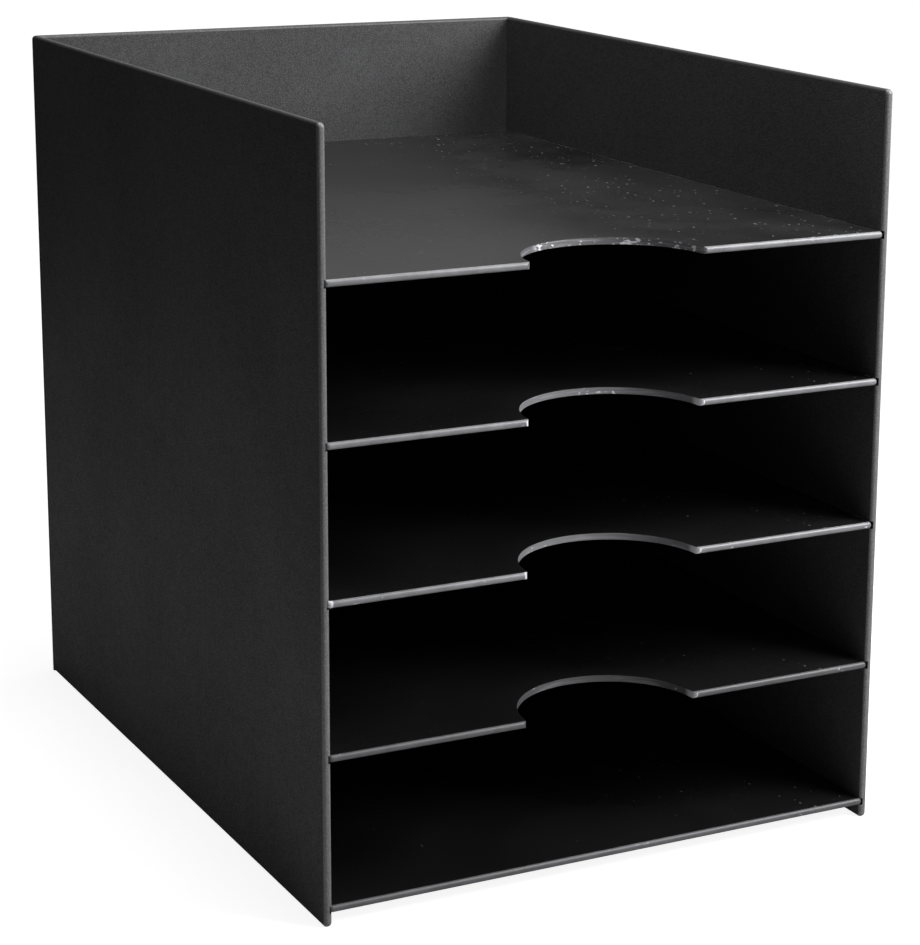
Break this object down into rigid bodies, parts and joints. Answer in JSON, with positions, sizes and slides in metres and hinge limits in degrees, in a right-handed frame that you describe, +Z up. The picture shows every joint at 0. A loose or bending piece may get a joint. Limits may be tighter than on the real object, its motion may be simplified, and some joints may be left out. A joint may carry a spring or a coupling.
{
  "type": "desktop letter sorter",
  "caption": "Black desktop letter sorter: an open-front case with a back, a bottom board, sliding shelves with half-round finger cut-outs, and an open tray on top.",
  "frame": {"origin": "middle of the case's footprint, on the surface it stands on", "axes": "+Z up, -Y towards the open front, +X to the right as seen from the front"},
  "size_m": [0.25, 0.336, 0.31],
  "materials": {
    "grained_panel": "fine leather grain, satin black",
    "smooth_board": "smooth satin black with polished rounded edges"
  },
  "bodies": {
    "case": {"left_side": "grained_panel", "right_side": "grained_panel", "back_panel": "grained_panel", "bottom_board": "smooth_board"},
    "shelf_1": {"shelf_1": "smooth_board"},
    "shelf_2": {"shelf_2": "smooth_board"},
    "shelf_3": {"shelf_3": "smooth_board"},
    "shelf_4": {"shelf_4": "smooth_board"}
  },
  "joints": [
    {"name": "shelf_1_slide", "type": "slide", "parent": "case", "child": "shelf_1", "axis": [0, -1, 0], "range_m": [0, 0.34]},
    {"name": "shelf_2_slide", "type": "slide", "parent": "case", "child": "shelf_2", "axis": [0, -1, 0], "range_m": [0, 0.34]},
    {"name": "shelf_3_slide", "type": "slide", "parent": "case", "child": "shelf_3", "axis": [0, -1, 0], "range_m": [0, 0.34]},
    {"name": "shelf_4_slide", "type": "slide", "parent": "case", "child": "shelf_4", "axis": [0, -1, 0], "range_m": [0, 0.34]}
  ]
}
